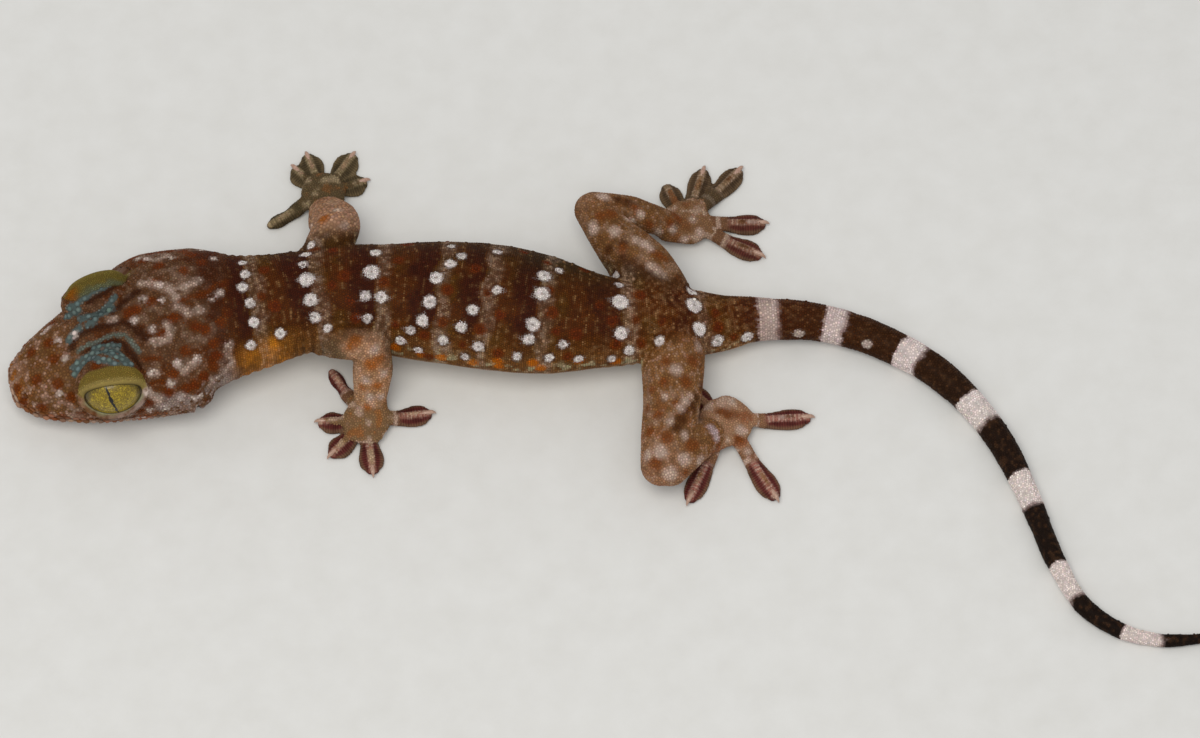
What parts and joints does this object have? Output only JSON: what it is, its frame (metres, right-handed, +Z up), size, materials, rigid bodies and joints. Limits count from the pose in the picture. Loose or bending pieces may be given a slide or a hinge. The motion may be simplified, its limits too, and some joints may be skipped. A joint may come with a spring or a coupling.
{
  "type": "young tokay gecko",
  "caption": "Life-size still model of a young tokay gecko lying low on its toe pads, legs spread, head turned slightly to its left, banded tail bent aside.",
  "frame": {"origin": "middle of the animal's box, on the floor under its toe pads and tail", "axes": "+X towards the tail tip, -X towards the snout, +Y towards the animal's right side, +Z up"},
  "size_m": [0.145, 0.0642, 0.0119],
  "materials": {
    "skin_brown": "satin, finely granular",
    "tail_banded": "matte, banded black-brown and pinkish white",
    "leg_tan": "satin, finely granular",
    "toe_maroon": "satin",
    "eye_gold": "wet gloss"
  },
  "bodies": {
    "root": {"head": "skin_brown", "jaw": "skin_brown", "neck": "skin_brown", "torso": "skin_brown", "hips": "skin_brown", "tail_1": "tail_banded", "tail_2": "tail_banded", "tail_3": "tail_banded", "tail_4": "tail_banded", "tail_5": "tail_banded", "tail_6": "tail_banded", "upper_arm_left": "leg_tan", "forearm_left": "leg_tan", "thigh_left": "leg_tan", "shin_left": "leg_tan", "upper_arm_right": "leg_tan", "forearm_right": "leg_tan", "thigh_right": "leg_tan", "shin_right": "leg_tan", "hand_left": "toe_maroon", "foot_left": "toe_maroon", "hand_right": "toe_maroon", "foot_right": "toe_maroon", "eye_left": "eye_gold", "eye_right": "eye_gold"}
  },
  "joints": []
}
